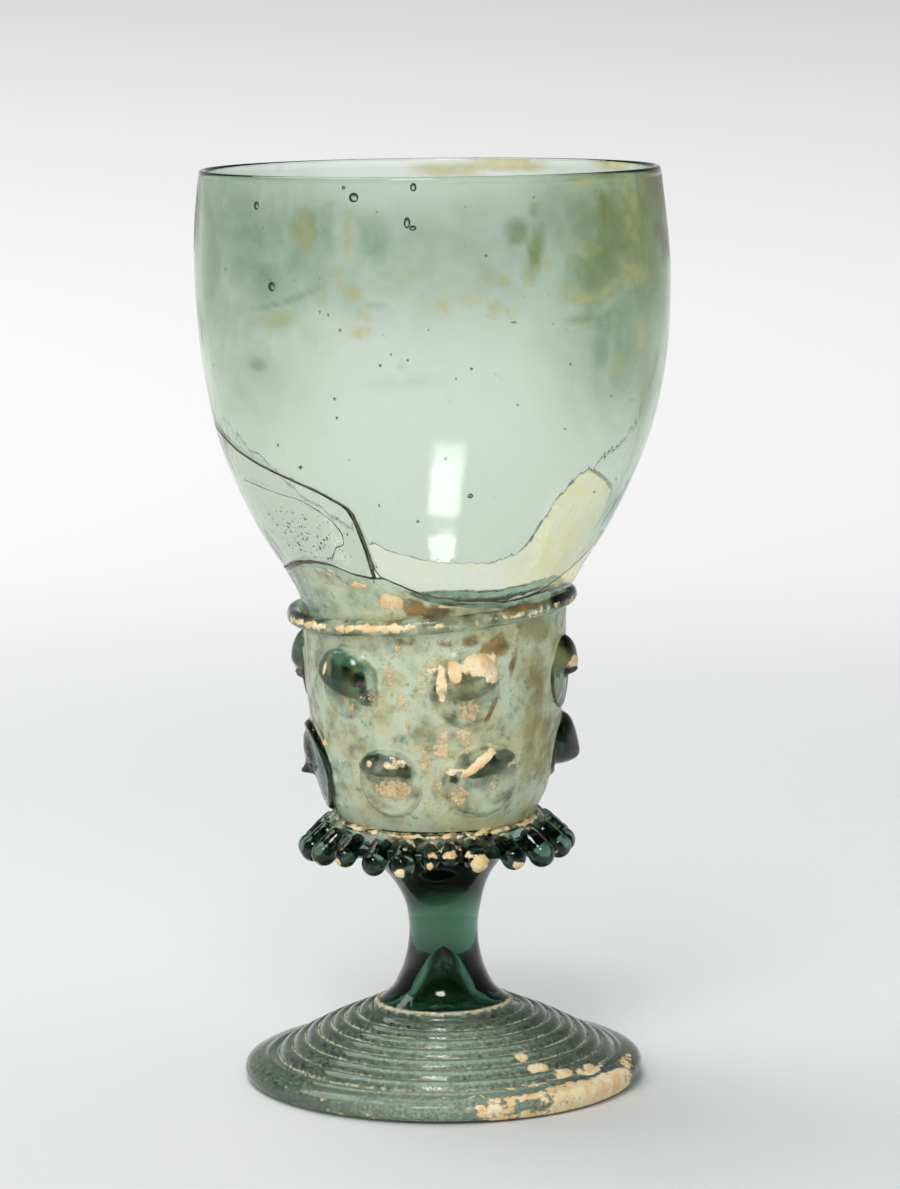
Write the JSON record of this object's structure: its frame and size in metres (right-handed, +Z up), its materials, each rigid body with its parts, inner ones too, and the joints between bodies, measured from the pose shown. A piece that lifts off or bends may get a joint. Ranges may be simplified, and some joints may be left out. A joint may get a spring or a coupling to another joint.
{
  "type": "stemmed glass",
  "caption": "Green forest-glass goblet: rounded mended bowl, hollow prunted shank, pincered frill, short stem and thread-wound conical foot.",
  "frame": {"origin": "on the ground, under the middle of the glass's overall box", "axes": "+Z up, the front of the glass towards -Y, +X to the right as seen from the front"},
  "size_m": [0.0845, 0.0846, 0.1654],
  "materials": {
    "vessel_glass": "forest glass of one gather, pale where the wall is thin and deep blue-green where it is thick, fire polished",
    "bowl_glass": "blown forest glass, pale green, bubbled, with an olive film towards the rim",
    "clear_resin": "clear casting resin, slightly clouded with small bubbles",
    "yellow_resin": "casting resin, yellowed with age, milky",
    "adhesive": "aged adhesive in the joints, dark brown with gold specks",
    "weathering": "cream and gold weathering crust, flaking, with a milky haze on the glass round it"
  },
  "bodies": {
    "root": {"foot": "vessel_glass", "foot_thread": "vessel_glass", "stem": "vessel_glass", "shank": "vessel_glass", "frill": "vessel_glass", "collar_thread": "vessel_glass", "prunt_upper_1": "vessel_glass", "prunt_upper_2": "vessel_glass", "prunt_upper_3": "vessel_glass", "prunt_upper_4": "vessel_glass", "prunt_upper_5": "vessel_glass", "prunt_upper_6": "vessel_glass", "prunt_lower_1": "vessel_glass", "prunt_lower_2": "vessel_glass", "prunt_lower_3": "vessel_glass", "prunt_lower_4": "vessel_glass", "prunt_lower_5": "vessel_glass", "prunt_lower_6": "vessel_glass", "bowl": "bowl_glass", "bowl_shard_side": "bowl_glass", "bowl_fill_front": "clear_resin", "bowl_fill_back": "yellow_resin"}
  },
  "joints": []
}
